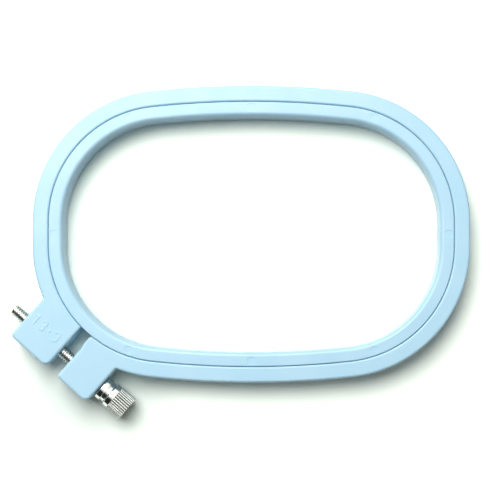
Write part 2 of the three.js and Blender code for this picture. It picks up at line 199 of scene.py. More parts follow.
class Pen:
    """Draws a closed outline by carrying its last vertex along."""

    ARC_STEP = 7.5  # degrees between the points of a small rounding

    def __init__(self, start: Vector) -> None:
        """Puts the pen down.

        Args:
            start: The first point of the outline.
        """
        self.bm = bmesh.new()
        self.first = new_vert(self.bm, start)
        self.last = [self.first]

    def point(self) -> bmesh.types.BMVert:
        """Returns the outline's last vertex."""
        return only(bmesh.types.BMVert, self.last)[0]

    def follow(self, stretches: Iterable[Stretch]) -> "Pen":
        """Draws along stretches, one after the other, and returns the pen."""
        for stretch in stretches:
            self.last = stretch.carry(self.bm, self.last)
        return self

    def line(self, place: Vector, steps: int = 1) -> "Pen":
        """Draws a straight line to a point and returns the pen."""
        return self.follow([Run(place.to_3d() - self.point().co, steps)])

    def arc(self, centre: Vector, degrees: float) -> "Pen":
        """Draws an arc round a centre and returns the pen."""
        return self.follow([Turn(centre, degrees, self.ARC_STEP)])

    def close(self) -> bmesh.types.BMesh:
        """Joins the outline's ends, fills it and returns its mesh."""
        if (self.point().co - self.first.co).length > WELD:
            self.bm.edges.new((self.point(), self.first))
        bmesh.ops.remove_doubles(self.bm, verts=self.bm.verts[:], dist=WELD)
        bmesh.ops.contextual_create(self.bm, geom=self.bm.edges[:])
        return self.bm


def raise_outline(bm: bmesh.types.BMesh, height: float) -> bmesh.types.BMesh:
    """Raises a flat outline into a solid of that height, and returns it."""
    done = bmesh.ops.extrude_face_region(bm, geom=bm.faces[:])
    bmesh.ops.translate(bm, vec=UP * height, verts=only(bmesh.types.BMVert, done["geom"]))
    bmesh.ops.recalc_face_normals(bm, faces=bm.faces[:])
    return bm


def level_rims(bm: bmesh.types.BMesh, lowest: float = -math.inf) -> list[bmesh.types.BMEdge]:
    """Finds the edges where a solid's walls meet its level faces.

    Args:
        bm: The solid.
        lowest: Edges under this height are left out.

    Returns:
        The edges.
    """
    return [
        edge
        for edge in bm.edges
        if abs(edge.verts[0].co.z - edge.verts[1].co.z) < WELD
        and edge.verts[0].co.z > lowest
        and edge.calc_face_angle() > math.radians(RIM_ANGLE)
    ]


def turned(
    profile: Sequence[tuple[float, float]],
    rounds: dict[int, float] | None = None,
    steps: int = TURNED_STEPS,
    segments: int = 4,
) -> bmesh.types.BMesh:
    """Turns a closed profile about X.

    Args:
        profile: The corners of the profile, as places along X and radii.
        rounds: The rounding of some corners, by their place in the profile.
        steps: How many steps go all round.
        segments: How many steps go across each rounding.

    Returns:
        The turned solid.
    """
    bm = bmesh.new()
    corners = [new_vert(bm, (along, 0, radius)) for along, radius in profile]
    bm.faces.new(corners)
    for corner, size in (rounds or {}).items():
        bevel(bm, [corners[corner]], size, segments, "VERTICES")
    bmesh.ops.delete(bm, geom=bm.faces[:], context="FACES_ONLY")
    on_axis = [e for e in bm.edges if all(v.co.z < WELD for v in e.verts)]
    bmesh.ops.delete(bm, geom=on_axis, context="EDGES")
    spin(bm, bm.verts[:] + bm.edges[:], steps=steps, merge=True)
    weld(bm)
    return bm


def plain_bar(sides: int, radius: float, start: float, end: float) -> bmesh.types.BMesh:
    """Makes a round or many-sided bar along X.

    Args:
        sides: Its number of sides.
        radius: Its radius at the corners.
        start: Where it starts.
        end: Where it ends.

    Returns:
        The bar.
    """
    bm = bmesh.new()
    lying = Matrix.Rotation(math.radians(RIGHT_ANGLE), 4, "Y")
    bmesh.ops.create_cone(
        bm, cap_ends=True, cap_tris=False, segments=sides, radius1=radius, radius2=radius,
        depth=end - start, matrix=Matrix.Translation(ALONG * (start + end) / 2) @ lying,
    )
    return bm


def hexagon_bar(flats: float, start: float, end: float) -> bmesh.types.BMesh:
    """Makes a six-sided bar along X, given its width across the flats, and returns it."""
    sides = 6
    return plain_bar(sides, flats / 2 / math.cos(math.pi / sides), start, end)


def in_scene(name: str, data: bpy.types.ID) -> bpy.types.Object:
    """Puts a new object in the scene and returns it."""
    made = bpy.data.objects.new(name, data)
    bpy.context.scene.collection.objects.link(made)
    return made


def as_object(bm: bmesh.types.BMesh, name: str) -> bpy.types.Object:
    """Makes a scene object of a mesh, which is used up, and returns it."""
    mesh = bpy.data.meshes.new(name)
    bm.to_mesh(mesh)
    bm.free()
    return in_scene(name, mesh)


def drop(made: bpy.types.Object) -> None:
    """Removes an object and its mesh."""
    mesh = made.data
    bpy.data.objects.remove(made)
    bpy.data.meshes.remove(mesh)


def changed(made: bpy.types.Object) -> bmesh.types.BMesh:
    """Returns the mesh that an object's modifiers make of it."""
    evaluated = made.evaluated_get(bpy.context.evaluated_depsgraph_get())
    result = bpy.data.meshes.new_from_object(evaluated)
    bm = bmesh.new()
    bm.from_mesh(result)
    bpy.data.meshes.remove(result)
    return bm


def round_rims(
    bm: bmesh.types.BMesh, size_at: Callable[[Vector], float], segments: int
) -> bmesh.types.BMesh:
    """Rounds the edges round a solid's level faces, each by a size of its own.

    Args:
        bm: The solid.
        size_at: Gives the size of the rounding at a place.
        segments: How many steps go across each rounding.

    Returns:
        The rounded solid.
    """
    weights = bm.edges.layers.float.new("bevel_weight_edge")
    sizes = {edge: size_at((edge.verts[0].co + edge.verts[1].co) / 2) for edge in level_rims(bm)}
    largest = max(sizes.values())
    for edge, size in sizes.items():
        edge[weights] = size / largest
    body = as_object(bm, "body")
    change = body.modifiers.new("round", "BEVEL")
    change.limit_method = "WEIGHT"
    change.width = largest
    change.segments = segments
    change.use_clamp_overlap = False
    rounded = changed(body)
    drop(body)
    return rounded


def combine(body: bmesh.types.BMesh, tools: Iterable[bmesh.types.BMesh], how: Combine) -> bmesh.types.BMesh:
    """Joins solids to a body, cuts them out of it, or keeps only what they share with it.

    Args:
        body: The solid that changes.
        tools: The other solids, used one after the other.
        how: What they do to it.

    Returns:
        The changed solid.
    """
    for tool in tools:
        left, right = as_object(body, "body"), as_object(tool, "tool")
        change = left.modifiers.new("combine", "BOOLEAN")
        change.solver = "EXACT"
        change.operation = how.value
        change.object = right
        body = changed(left)
        drop(left)
        drop(right)
    return body


@dataclass(frozen=True)
class Stand:
    """A finished piece's place among the CAD nodes."""

    name: str
    node: str
    body: Body
    slot: str

    def install(
        self, bm: bmesh.types.BMesh, matrix: Matrix, material: bpy.types.Material
    ) -> bpy.types.Object:
        """Puts a piece in its node's place.

        Args:
            bm: The piece, in millimetres.
            matrix: Where its own frame lies in the hoop's, in millimetres.
            material: Its finish.

        Returns:
            The piece's object.
        """
        weld(bm)
        move(bm, Matrix.Scale(MM, 4) @ matrix)
        for face in bm.faces:
            face.smooth = True
        for edge in bm.edges:
            edge.smooth = edge.calc_face_angle(math.pi) < math.radians(SHARP_ANGLE)
        open_edges = sum(not edge.is_manifold for edge in bm.edges)
        piece = as_object(bm, self.name)
        piece.data.materials.append(material)
        normals = piece.modifiers.new("flat_faces_shade_flat", "WEIGHTED_NORMAL")
        normals.keep_sharp = True
        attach(piece, self.body.value)
        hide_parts(self.node)
        log.info("%s: %d faces, %d open edges, rides on %s",
                 self.name, len(piece.data.polygons), open_edges, self.body.value)
        return piece


# Where things are


@dataclass
class Oval:
    """The seam between the two rings, in plan."""

    gap: float = 0.35  # room for the cloth between the rings
    end_flat: float = 7.2  # straight run at each short end
    long_side_radius: float = 279.0  # the long sides bow outwards on this radius
    corner_step: float = 1.5  # degrees between points
    long_side_step: float = 0.6

    def __post_init__(self) -> None:
        """Measures the inner ring's CAD node and works out the arcs that touch each other."""
        low, high = (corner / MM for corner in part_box("inner_ring"))
        self.middle = (low + high).to_2d() / 2
        self.height = high.z
        self.half_length = (high.x - low.x + self.gap) / 2
        self.half_width = (high.y - low.y + self.gap) / 2
        self.side_drop = self.long_side_radius - self.half_width
        corner_y = self.end_flat / 2
        drop = self.side_drop + corner_y
        spare = self.long_side_radius - self.half_length
        self.corner_radius = (self.long_side_radius ** 2 - self.half_length ** 2 - drop ** 2) / (2 * spare)
        self.corner = Vector((self.half_length - self.corner_radius, corner_y))
        self.corner_turn = math.degrees(math.atan2(drop, self.corner.x))

    def corner_centre(self, x_side: int, y_side: int) -> Vector:
        """Returns the centre of one corner's arc, by the sides that it is on."""
        return self.middle + Vector((x_side * self.corner.x, y_side * self.corner.y))

    def corner_arc(self, x_side: int, y_side: int) -> Turn:
        """Returns one corner's stretch."""
        return Turn(self.corner_centre(x_side, y_side), self.corner_turn, self.corner_step)

    def long_side(self, y_side: int) -> Turn:
        """Returns one long side's stretch."""
        centre = self.middle - Vector((0, y_side * self.side_drop))
        return Turn(centre, 2 * (RIGHT_ANGLE - self.corner_turn), self.long_side_step)

    def after_first_corner(self) -> list[Stretch]:
        """Returns the stretches from the end of the lower left corner's arc round to its start."""
        return [
            self.long_side(-1),
            self.corner_arc(1, -1),
            Run(Vector((0, self.end_flat))),
            self.corner_arc(1, 1),
            self.long_side(1),
            self.corner_arc(-1, 1),
            Run(Vector((0, -self.end_flat))),
        ]

    def offset(self, place: Vector) -> float:
        """Returns how far a place lies outside the oval, in plan."""
        arm = place.to_2d() - self.middle
        side = Vector((abs(arm.x), abs(arm.y)))
        from_corner = side - self.corner
        if from_corner.y < 0:
            return side.x - self.half_length
        if math.atan2(from_corner.y, from_corner.x) < math.radians(self.corner_turn):
            return from_corner.length - self.corner_radius
        return (side + Vector((0, self.side_drop))).length - self.long_side_radius

    def between(self, start: float, end: float) -> list[Stretch]:
        """Gives the way round from one direction on the lower left corner to another.

        Args:
            start: Degrees at which it leaves that corner.
            end: Degrees at which it comes back to that corner.

        Returns:
            The stretches, anticlockwise.
        """
        centre = self.corner_centre(-1, -1)
        leaving = Turn(centre, HALF_ROUND + self.corner_turn - start, self.corner_step)
        return [leaving, *self.after_first_corner(), Turn(centre, end - HALF_ROUND, self.corner_step)]


class Clasp:
    """The frame of the lugs and the thumb screw. X runs along the screw towards its head."""

    def __init__(self, oval: Oval) -> None:
        """Reads the screw's axis from its joint.

        Args:
            oval: The seam, on whose lower left corner the lugs stand.
        """
        joint = next(j for j in frame["joints"] if j["name"] == "screw_turn")
        along, on_axis = Vector(joint["axis"]).normalized(), Vector(joint["pos_m"]) / MM
        across = UP.cross(along)
        turn = Matrix((along, across, UP)).transposed().to_4x4()
        self.screw = Matrix.Translation(on_axis) @ turn
        centre = oval.corner_centre(-1, -1).to_3d() + UP * on_axis.z
        self.screw_reach = (centre - on_axis).dot(across)
        self.centre = Matrix.Translation(on_axis + across * self.screw_reach) @ turn
        self.degrees = math.degrees(math.atan2(along.y, along.x))

    def plan(self, x: float, y: float) -> Vector:
        """Returns a point of the lugs' plan, measured from the corner's centre, in the hoop's."""
        return (self.centre @ Vector((x, y, 0))).to_2d()

    def direction(self, x: float, y: float) -> float:
        """Returns the direction from the corner's centre to a point of the lugs' plan, from 0 to 360."""
        return (math.degrees(math.atan2(y, x)) + self.degrees) % ALL_ROUND

    def reach_of(self, node: str) -> tuple[Vector, Vector]:
        """Measures a CAD node in the screw's frame.

        Args:
            node: The node's name.

        Returns:
            Its lowest and highest places along and across the screw, in millimetres.
        """
        inside = self.screw.inverted()
        columns = list(zip(*(inside @ (vertex.co / MM) for vertex in frame["nodes"][node].data.vertices)))
        low, high = (Vector([pick(column) for column in columns]) for pick in (min, max))
        return low, high


# Finishes


NOISE_SPAN = (0.3, 0.7)  # nearly all the values of a noise lie between these
NOISE_CORE = (0.35, 0.65)  # and most of them between these


class NodeSketch:
    """Places and joins the nodes of one material, world or node group."""

    MIX_COLOURS = (6, 7)  # the Mix node's colour inputs
    MIX_RESULT = 2  # and its colour output

    def __init__(self, tree: bpy.types.NodeTree) -> None:
        """Takes an empty tree, or empties it.

        Args:
            tree: The tree that the nodes go into.
        """
        self.tree = tree
        tree.nodes.clear()

    def feed(self, socket: bpy.types.NodeSocket, value: Any) -> None:
        """Feeds an input from another node's output, or sets it to a plain value."""
        if isinstance(value, bpy.types.NodeSocket):
            self.tree.links.new(value, socket)
        else:
            socket.default_value = value

    def add(self, kind: str, inputs: dict[str | int, Any] | None = None, **settings: Any) -> bpy.types.Node:
        """Adds a node.

        Args:
            kind: The node's type.
            inputs: A value or another node's output for some of its sockets.
            settings: Its other properties.

        Returns:
            The node.
        """
        node = self.tree.nodes.new(kind)
        for name, value in settings.items():
            setattr(node, name, value)
        for socket, value in (inputs or {}).items():
            self.feed(node.inputs[socket], value)
        return node

    def place(self) -> bpy.types.NodeSocket:
        """Returns the place on the piece, in metres."""
        return self.add("ShaderNodeTexCoord").outputs["Object"]

    def split(self, vector: Any) -> bpy.types.NodeOutputs:
        """Returns a vector's three parts."""
        return self.add("ShaderNodeSeparateXYZ", {0: vector}).outputs

    def math(self, operation: str, *values: Any) -> bpy.types.NodeSocket:
        """Adds a sum of two or three values and returns its result."""
        return self.add("ShaderNodeMath", dict(enumerate(values)), operation=operation).outputs[0]

    def measure(self, operation: str, vector: Any, other: Vector) -> bpy.types.NodeSocket:
        """Adds a sum of two vectors that gives a plain value, and returns it."""
        return self.add("ShaderNodeVectorMath", {0: vector, 1: other}, operation=operation).outputs["Value"]

    def from_axis(self, parts: bpy.types.NodeOutputs) -> bpy.types.NodeSocket:
        """Returns how far a place, given in parts, is from the X axis."""
        squares = [self.math("MULTIPLY", parts[axis], parts[axis]) for axis in ("Y", "Z")]
        return self.math("SQRT", self.math("ADD", *squares))

    def remap(self, value: Any, low: float, high: float, to_low: float, to_high: float) -> Any:
        """Stretches a value from one range to another, smoothly, and returns it."""
        inputs = {"Value": value, "From Min": low, "From Max": high, "To Min": to_low, "To Max": to_high}
        return self.add("ShaderNodeMapRange", inputs, interpolation_type="SMOOTHSTEP").outputs["Result"]

    def noise(self, vector: Any, scale: Any, detail: float = 3.0) -> bpy.types.NodeSocket:
        """Adds a noise of that many waves to a metre and returns its value."""
        inputs = {"Vector": vector, "Scale": scale, "Detail": detail}
        return self.add("ShaderNodeTexNoise", inputs).outputs["Fac"]

    def mix(self, share: Any, first: Any, second: Any) -> bpy.types.NodeSocket:
        """Mixes two colours and returns the mixture."""
        inputs = {"Factor": share}
        for socket, colour in zip(self.MIX_COLOURS, (first, second)):
            inputs[socket] = colour if isinstance(colour, bpy.types.NodeSocket) else (*colour, 1)
        return self.add("ShaderNodeMix", inputs, data_type="RGBA").outputs[self.MIX_RESULT]

    def bump(self, strength: float, distance: float, height: Any) -> bpy.types.NodeSocket:
        """Adds a relief of that many millimetres and returns its normals."""
        inputs = {"Strength": strength, "Distance": distance * MM, "Height": height}
        return self.add("ShaderNodeBump", inputs).outputs[0]

    def group(self, kind: "Effect", **inputs: Any) -> bpy.types.NodeOutputs:
        """Places a shared effect and returns what it puts out."""
        return self.add("ShaderNodeGroup", inputs, node_tree=kind.tree()).outputs

    def show(self, surface: bpy.types.NodeSocket) -> None:
        """Makes a shader the material's surface."""
        self.add("ShaderNodeOutputMaterial", {"Surface": surface})


class Effect(Enum):
    """Effects that several finishes share, each built once."""

    EDGE_WEAR = "edge_wear"
    DUST = "settled_dust"
    GRAIN = "surface_grain"
    TURNING = "turning_marks"

    def tree(self) -> bpy.types.NodeTree:
        """Returns the effect's node group, and builds it the first time."""
        found = bpy.data.node_groups.get(self.value)
        return found or EFFECT_BUILDERS[self](self.value)


def new_group(
    name: str, inputs: dict[str, float | None], outputs: Sequence[str]
) -> tuple[NodeSketch, bpy.types.NodeOutputs, bpy.types.NodeInputs]:
    """Starts a node group.

    Args:
        name: The group's name.
        inputs: The inputs and their usual values, None for a vector.
        outputs: The names of the values that it puts out.

    Returns:
        Its sketch, what it is given, and the sockets of what it puts out.
    """
    tree = bpy.data.node_groups.new(name, "ShaderNodeTree")
    for socket, value in inputs.items():
        kind = "NodeSocketVector" if value is None else "NodeSocketFloat"
        made = tree.interface.new_socket(socket, in_out="INPUT", socket_type=kind)
        if value is not None:
            made.default_value = value
    for socket in outputs:
        tree.interface.new_socket(socket, in_out="OUTPUT", socket_type="NodeSocketFloat")
    sketch = NodeSketch(tree)
    return sketch, sketch.add("NodeGroupInput").outputs, sketch.add("NodeGroupOutput").inputs


def build_edge_wear(name: str) -> bpy.types.NodeTree:
    """Builds the mask of rubbed outer edges and returns its group."""
    sketch, given, out = new_group(name, {"Vector": None, "Amount": 0.5}, ["Mask"])
    flat, sharp = 0.5, 0.56  # pointiness
    patch_scale, least = 700, 0.3
    pointiness = sketch.add("ShaderNodeNewGeometry").outputs["Pointiness"]
    edges = sketch.remap(pointiness, flat, sharp, 0, 1)
    patches = sketch.remap(sketch.noise(given["Vector"], patch_scale), *NOISE_CORE, least, 1)
    worn = sketch.math("MULTIPLY", edges, patches)
    sketch.feed(out["Mask"], sketch.math("MULTIPLY", worn, given["Amount"]))
    return sketch.tree


def build_dust(name: str) -> bpy.types.NodeTree:
    """Builds the mask of dust that lies on what faces up, and returns its group."""
    sketch, given, out = new_group(name, {"Vector": None, "Amount": 0.5}, ["Mask"])
    too_steep, level = 0.3, 1  # upward parts of the normal
    speck_scale, speck_detail, speck_range = 2600, 5, (0.56, 0.72)
    drift_scale, drift_range, least = 60, (0.35, 0.7), 0.25
    facing = sketch.split(sketch.add("ShaderNodeNewGeometry").outputs["Normal"])["Z"]
    lying = sketch.remap(facing, too_steep, level, 0, 1)
    specks = sketch.remap(sketch.noise(given["Vector"], speck_scale, speck_detail), *speck_range, 0, 1)
    drift = sketch.remap(sketch.noise(given["Vector"], drift_scale), *drift_range, least, 1)
    dusty = sketch.math("MULTIPLY", sketch.math("MULTIPLY", specks, drift), lying)
    sketch.feed(out["Mask"], sketch.math("MULTIPLY", dusty, given["Amount"]))
    return sketch.tree


def build_grain(name: str) -> bpy.types.NodeTree:
    """Builds the fine grain and the slow mottle of a surface, and returns their group."""
    inputs = {"Vector": None, "Grain Scale": 4000.0, "Mottle Scale": 90.0}
    sketch, given, out = new_group(name, inputs, ["Grain", "Mottle"])
    for output, detail in (("Grain", 2.0), ("Mottle", 4.0)):
        sketch.feed(out[output], sketch.noise(given["Vector"], given[f"{output} Scale"], detail))
    return sketch.tree


def build_turning(name: str) -> bpy.types.NodeTree:
    """Builds the rings that a lathe leaves about X, and returns their group."""
    sketch, given, out = new_group(name, {"Vector": None, "Scale": 9000.0}, ["Height", "Streak"])
    parts = sketch.split(given["Vector"])
    place = sketch.math("ADD", parts["X"], sketch.from_axis(parts))
    for output, share in (("Height", 1.0), ("Streak", 0.2)):
        scale = sketch.math("MULTIPLY", given["Scale"], share)
        noise = sketch.add("ShaderNodeTexNoise", {"W": place, "Scale": scale}, noise_dimensions="1D")
        sketch.feed(out[output], noise.outputs["Fac"])
    return sketch.tree


EFFECT_BUILDERS = {
    Effect.EDGE_WEAR: build_edge_wear,
    Effect.DUST: build_dust,
    Effect.GRAIN: build_grain,
    Effect.TURNING: build_turning,
}


def new_material(name: str) -> tuple[bpy.types.Material, NodeSketch]:
    """Starts a material and returns it with its sketch."""
    material = bpy.data.materials.new(name)
    material.use_nodes = True
    return material, NodeSketch(material.node_tree)


@dataclass(frozen=True)
class PlasticFinish:
    """Pale moulded plastic with a satin skin."""

    name: str
    colour: tuple[float, float, float] = (0.500, 0.775, 0.930)
    shade: tuple[float, float, float] = (0.470, 0.750, 0.915)
    rubbed: tuple[float, float, float] = (0.60, 0.84, 0.96)
    dust: tuple[float, float, float] = (0.72, 0.80, 0.84)
    roughness: float = 0.33
    unevenness: float = 0.02  # how far the roughness strays
    refraction: float = 1.49
    wear: float = 0.35  # how much of the rubbed colour and of the dust shows, at most
    dustiness: float = 0.25
    grain_height: float = 0.004  # millimetres
    grain_strength: float = 0.6

    def build(self) -> bpy.types.Material:
        """Builds the material and returns it."""
        material, sketch = new_material(self.name)
        vector = sketch.place()
        grain = sketch.group(Effect.GRAIN, Vector=vector)
        wear = sketch.group(Effect.EDGE_WEAR, Vector=vector, Amount=self.wear)
        dust = sketch.group(Effect.DUST, Vector=vector, Amount=self.dustiness)
        mottle = grain["Mottle"]
        mottled = sketch.mix(sketch.remap(mottle, *NOISE_CORE, 0, 1), self.colour, self.shade)
        worn = sketch.mix(wear["Mask"], mottled, self.rubbed)
        low, high = self.roughness - self.unevenness, self.roughness + self.unevenness
        shader = sketch.add("ShaderNodeBsdfPrincipled", {
            "Base Color": sketch.mix(dust["Mask"], worn, self.dust),
            "Roughness": sketch.remap(mottle, *NOISE_SPAN, low, high),
            "IOR": self.refraction,
            "Normal": sketch.bump(self.grain_strength, self.grain_height, grain["Grain"]),
        })
        sketch.show(shader.outputs[0])
        return material


@dataclass(frozen=True)
class Grooves:
    """A stretch of the screw with grooves cut in it, whose bottoms hold dirt and painted shade."""

    start: float
    end: float
    crest: float  # radius of what stands between the grooves
    depth: float
    dirt_and_shade: float  # share of the plating that dirt and painted shade hide at the bottom


@dataclass(frozen=True)
class PlatingFinish:
    """Bright plating on turned metal, with the marks of the lathe under it, and grime and painted shade
    darkening its grooves and creases.
    """

    name: str
    axis: Matrix  # the screw's frame in the hoop's, in millimetres
    grooves: tuple[Grooves, ...] = ()
    colour: tuple[float, float, float] = (0.80, 0.82, 0.79)
    # near black: grime, with painted shade, at the bottoms of the grooves and in creases
    grime_and_shade_colour: tuple[float, float, float] = (0.05, 0.06, 0.05)
    rubbed: tuple[float, float, float] = (0.80, 0.79, 0.74)
    wear: float = 0.5
    roughness: float = 0.14
    streaks: tuple[float, float] = (-0.05, 0.07)  # what the streaks add to the roughness
    stain_roughness: float = 0.3  # and what the grime and painted shade mask adds to it
    mark_height: float = 0.0015  # millimetres
    mark_strength: float = 0.5
    mark_scale: float = 9000.0  # waves to a metre, as the other scales
    grain_scale: float = 2500.0
    grain_share: float = 0.4  # height of the grain, as a share of the marks'
    mottle_scale: float = 400.0
    crease: tuple[float, float] = (0.40, 0.49)  # pointiness of a deep crease, and of none
    # how much grime and painted shade a deep crease gets
    crease_grime_and_shade: float = 0.55
    grime_and_shade_depths: tuple[float, float] = (0.6, 0.05)  # shares of a groove's depth: darkest with grime and painted shade, and clean
    thin_grime_and_shade: float = 0.7  # share of the grime and painted shade where it lies thinnest

    def in_grooves(self, sketch: NodeSketch, lathe: bpy.types.NodeSocket) -> Any:
        """Finds the bottoms of the grooves.

        Args:
            sketch: The material's sketch.
            lathe: The place in the screw's frame.

        Returns:
            How much grime and painted shade each place gets, from 0 at the crests.
        """
        parts = sketch.split(lathe)
        radius = sketch.from_axis(parts)
        deepest = 0.0
        for cut in self.grooves:
            after = sketch.math("GREATER_THAN", parts["X"], cut.start * MM)
            within = sketch.math("MULTIPLY", after, sketch.math("LESS_THAN", parts["X"], cut.end * MM))
            bottom, top = (cut.crest - share * cut.depth for share in self.grime_and_shade_depths)
            sunk = sketch.remap(radius, bottom * MM, top * MM, cut.dirt_and_shade, 0)
            deepest = sketch.math("MAXIMUM", deepest, sketch.math("MULTIPLY", within, sunk))
        return deepest

    def build(self) -> bpy.types.Material:
        """Builds the material and returns it."""
        material, sketch = new_material(self.name)
        vector = sketch.place()
        lathe = sketch.add("ShaderNodeMapping", {
            "Vector": vector,
            "Location": self.axis.to_translation() * MM,
            "Rotation": self.axis.to_euler(),
        }, vector_type="TEXTURE").outputs[0]
        marks = sketch.group(Effect.TURNING, Vector=lathe, Scale=self.mark_scale)
        scales = {"Grain Scale": self.grain_scale, "Mottle Scale": self.mottle_scale}
        grain = sketch.group(Effect.GRAIN, Vector=vector, **scales)
        wear = sketch.group(Effect.EDGE_WEAR, Vector=vector, Amount=self.wear)
        pointiness = sketch.add("ShaderNodeNewGeometry").outputs["Pointiness"]
        # painted shade and grime: creases and groove bottoms are darkened towards near black
        creases = sketch.remap(pointiness, *self.crease, self.crease_grime_and_shade, 0)
        hollow = sketch.math("MAXIMUM", creases, self.in_grooves(sketch, lathe))
        spots = sketch.remap(grain["Mottle"], *NOISE_SPAN, self.thin_grime_and_shade, 1)
        grime_and_shade_mask = sketch.math("MULTIPLY", hollow, spots)
        grimy_and_shaded = sketch.mix(grime_and_shade_mask, self.colour, self.grime_and_shade_colour)
        smooth, rough = (self.roughness + streak for streak in self.streaks)
        streaked = sketch.remap(marks["Streak"], *NOISE_SPAN, smooth, rough)
        roughened = sketch.math("MULTIPLY", grime_and_shade_mask, self.stain_roughness)
        grains = sketch.math("MULTIPLY", grain["Grain"], self.grain_share)
        height = sketch.math("ADD", marks["Height"], grains)
        shader = sketch.add("ShaderNodeBsdfPrincipled", {
            "Base Color": sketch.mix(wear["Mask"], grimy_and_shaded, self.rubbed),
            "Metallic": 1.0,
            "Roughness": sketch.math("ADD", streaked, roughened),
            "Normal": sketch.bump(self.mark_strength, self.mark_height, height),
        })
        sketch.show(shader.outputs[0])
        return material


# The rings


@dataclass
class InnerRing:
    """The closed ring, with the marks that the mould's ejector pins left on it."""

    oval: Oval
    wall: float = 4.2
    rim_round: float = 1.2  # round the window
    seam_round: float = 0.35
    pin_diameter: float = 2.6
    pin_depth: float = 0.16
    pin_taper: float = 0.06
    pin_turn: float = 71.0  # degrees round each corner from the short end
    pin_sides: int = 48
    round_segments: int = 6

    def body(self) -> bmesh.types.BMesh:
        """Sweeps the ring's section round the oval and returns the solid."""
        bm = bmesh.new()
        corner = self.oval.corner_centre(-1, -1)
        seam = corner.x - self.oval.corner_radius + self.oval.gap / 2
        window = seam + self.wall
        section = ((seam, 0), (seam, self.oval.height), (window, self.oval.height), (window, 0))
        corners = [new_vert(bm, (x, corner.y, z)) for x, z in section]
        bm.faces.new(corners)
        bevel(bm, corners[:2], self.seam_round, self.round_segments, "VERTICES")
        bevel(bm, [v for v in corners[2:] if v.is_valid], self.rim_round, self.round_segments, "VERTICES")
        bmesh.ops.delete(bm, geom=bm.faces[:], context="FACES_ONLY")
        swept = bm.verts[:] + bm.edges[:]
        for stretch in [self.oval.corner_arc(-1, -1), *self.oval.after_first_corner()]:
            swept = stretch.carry(bm, swept)
        weld(bm)
        return bm

    def pin_places(self) -> list[Vector]:
        """Returns the middles of the pin marks: one on each side and one on each corner."""
        oval = self.oval
        offset = (oval.gap + self.wall + self.seam_round - self.rim_round) / 2
        turn = math.radians(self.pin_turn)
        arm = Vector((math.cos(turn), math.sin(turn))) * (oval.corner_radius - offset)
        on_corner = oval.corner + arm
        places = [Vector((side * (oval.half_length - offset), 0)) for side in (-1, 1)]
        places += [Vector((0, side * (oval.half_width - offset))) for side in (-1, 1)]
        places += [Vector((x * on_corner.x, y * on_corner.y)) for x in (-1, 1) for y in (-1, 1)]
        return [oval.middle + place for place in places]

    def pins(self) -> bmesh.types.BMesh:
        """Makes the ends of the pins that pressed the marks, and returns them."""
        bm = bmesh.new()
        for place in self.pin_places():
            bmesh.ops.create_cone(
                bm, cap_ends=True, cap_tris=False, segments=self.pin_sides, depth=2 * self.pin_depth,
                radius1=self.pin_diameter / 2 - self.pin_taper, radius2=self.pin_diameter / 2,
                matrix=Matrix.Translation((*place, self.oval.height)),
            )
        return bm

    def build(self, plastic: bpy.types.Material) -> bpy.types.Object:
        """Builds and dresses the ring, and returns its object."""
        marked = combine(self.body(), [self.pins()], Combine.CUT)
        stand = Stand("inner_ring_moulding", "inner_ring", Body.INNER_RING, "ring_plastic")
        return stand.install(marked, Matrix(), plastic)


